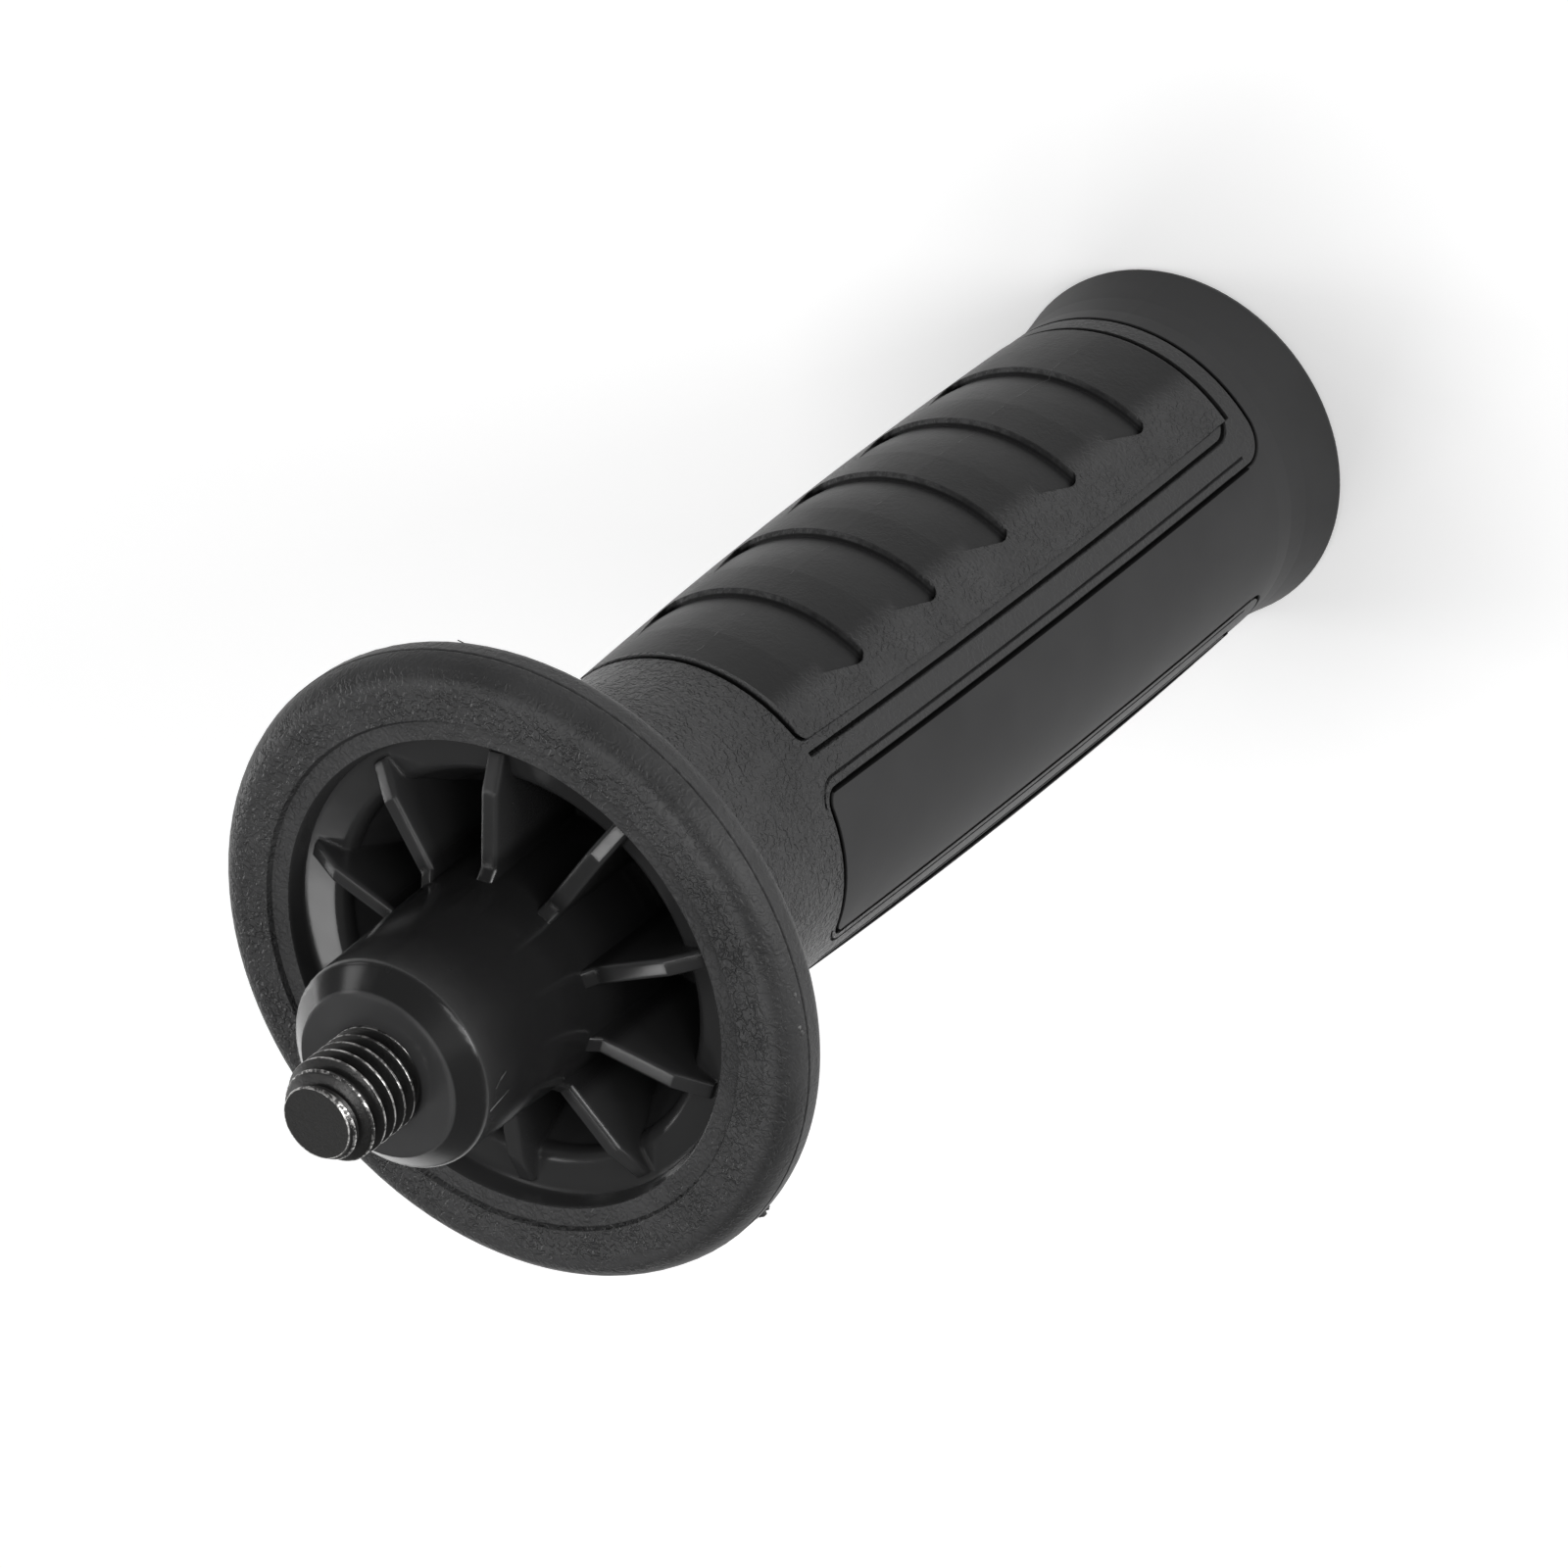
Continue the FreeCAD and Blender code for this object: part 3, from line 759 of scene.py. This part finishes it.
flash = {
    # azimuth in degrees, radius and height in mm, then half sizes in mm: round the rim, outwards and along
    "nubs": [
        (-86.0, 31.45, 122.35, 0.42, 0.22, 0.38),
        (-84.9, 31.4, 122.6, 0.25, 0.2, 0.2),
        (-79.0, 31.5, 122.5, 0.28, 0.2, 0.22),
        (-80.6, 31.5, 122.3, 0.2, 0.18, 0.16),
        (-132.4, 31.75, 118.35, 0.55, 0.4, 0.3),
        (-131.2, 31.65, 118.1, 0.35, 0.25, 0.25),
        (-133.6, 31.6, 118.5, 0.4, 0.22, 0.22),
    ],
    # thin slivers: azimuth, radius and height of both ends, then half the width at the first
    "slivers": [
        ((10.0, 31.62, 119.5), (5.5, 31.6, 120.5), 0.06),
        ((5.5, 31.6, 120.5), (1.5, 31.6, 121.6), 0.07),
        ((-102.0, 10.45, 141.0), (-97.2, 10.55, 138.3), 0.07),
        ((-91.0, 10.48, 140.2), (-88.0, 10.5, 139.5), 0.05),
        ((-88.0, 10.5, 139.5), (-85.8, 10.55, 138.6), 0.09),
    ],
    "taper": 0.5,
    "tear": 0.35,
    "seed": 7,
    "smoothAngle": 50,
}


def rimPoint(azimuth, radius, height):
    turn = math.radians(azimuth)
    return Vector((radius * math.cos(turn), radius * math.sin(turn), height)) * mm


def makeFlash(v):
    # torn scraps of nylon that the mould left on the flange and on the hub
    bm = bmesh.new()
    chance = random.Random(v["seed"])
    for azimuth, radius, height, wide, out, tall in v["nubs"]:
        scrap = bmesh.ops.create_icosphere(bm, subdivisions=2, radius=mm)["verts"]
        bmesh.ops.scale(bm, verts=scrap, vec=(out, wide, tall))
        for vert in scrap:
            vert.co *= 1 + v["tear"] * (chance.random() - 0.5)
        turnAbout(bm, scrap, Matrix.Rotation(math.radians(azimuth), 3, "Z"))
        bmesh.ops.translate(bm, verts=scrap, vec=rimPoint(azimuth, radius, height))
    for first, last, half in v["slivers"]:
        start = rimPoint(*first)
        end = rimPoint(*last)
        along = end - start
        sliver = bmesh.ops.create_cone(
            bm, cap_ends=True, segments=6, radius1=half * mm, radius2=half * mm * v["taper"],
            depth=along.length)["verts"]
        turnAbout(bm, sliver, along.to_track_quat("Z", "Y").to_matrix())
        bmesh.ops.translate(bm, verts=sliver, vec=(start + end) / 2)
    finishPiece("mouldFlash", bm, flashNylon, v["smoothAngle"])


makeFlash(flash)
print("mould flash")


# floor, light and camera
studio = {
    "floorSize": 6.0,
    "floorHeight": -0.02 * mm,              # a hair below the handle's end face
    "floorColour": (0.92, 0.92, 0.92, 1),
    "floorRoughness": 0.9,
    "floorGlow": 0.36,
    "skyColour": (1, 1, 1, 1),
    "skyStrength": 0.18,
    "aim": (0, 0, 85 * mm),
    "distance": 1.2,
    # name, azimuth and height in degrees, size in metres, watts
    "softboxes": [
        ("lowSide", 288, 10, (0.5, 0.34), 6.6),
        ("cameraSide", 302, 31, (0.75, 0.5), 4.2),
        ("overhead", 0, 90, (0.34, 0.28), 3.4),
        ("lowBack", 103, 6, (0.4, 0.26), 1.8),
        ("highLeft", 150, 58, (0.3, 0.24), 1.4),
        ("highBack", 86, 58, (0.3, 0.24), 1.0),
        ("midBack", 100, 30, (0.26, 0.2), 1.2),
        ("lowRight", 58, 20, (0.34, 0.24), 0.7),
    ],
}


def makeFloor(v):
    bm = bmesh.new()
    bmesh.ops.create_grid(bm, x_segments=1, y_segments=1, size=v["floorSize"] / 2)
    bmesh.ops.translate(bm, verts=bm.verts, vec=(0, 0, v["floorHeight"]))
    mesh = bpy.data.meshes.new("floor")
    bm.to_mesh(mesh)
    bm.free()
    material, tree, shader = startMaterial("paleFloor")
    shader.inputs["Base Color"].default_value = v["floorColour"]
    shader.inputs["Roughness"].default_value = v["floorRoughness"]
    shader.inputs["Emission Color"].default_value = v["floorColour"]
    shader.inputs["Emission Strength"].default_value = v["floorGlow"]
    mesh.materials.append(material)
    floor = bpy.data.objects.new("floor", mesh)
    bpy.context.scene.collection.objects.link(floor)


def makeSky(v):
    world = bpy.data.worlds.new("studioSky")
    world.use_nodes = True
    sky = world.node_tree.nodes["Background"]
    sky.inputs["Color"].default_value = v["skyColour"]
    sky.inputs["Strength"].default_value = v["skyStrength"]
    bpy.context.scene.world = world


def makeSoftboxes(v):
    for name, azimuth, height, size, watts in v["softboxes"]:
        light = bpy.data.lights.new(name, "AREA")
        light.shape = "RECTANGLE"
        light.size, light.size_y = size
        light.energy = watts
        turn, rise = math.radians(azimuth), math.radians(height)
        away = Vector((math.cos(rise) * math.cos(turn), math.cos(rise) * math.sin(turn), math.sin(rise)))
        lamp = bpy.data.objects.new(name, light)
        lamp.location = Vector(v["aim"]) + away * v["distance"]
        lamp.rotation_euler = away.to_track_quat("Z", "Y").to_euler()
        bpy.context.scene.collection.objects.link(lamp)


view = {
    "place": (335.6 * mm, -342.4 * mm, 590.0 * mm),
    "turn": (-30.3084, 32.3271, -92.8469),
    "lens": 168.75,
    "sensor": 36.0,
    "clipStart": 10.0 * mm,
}


def makeCamera(v):
    data = bpy.data.cameras.new("camera")
    data.lens = v["lens"]
    data.sensor_width = v["sensor"]
    data.clip_start = v["clipStart"]
    camera = bpy.data.objects.new("camera", data)
    camera.location = v["place"]
    camera.rotation_euler = [math.radians(a) for a in v["turn"]]
    bpy.context.scene.collection.objects.link(camera)
    bpy.context.scene.camera = camera


makeFloor(studio)
makeSky(studio)
makeSoftboxes(studio)
makeCamera(view)
bpy.context.scene.view_settings.view_transform = "Standard"
print("studio and camera")
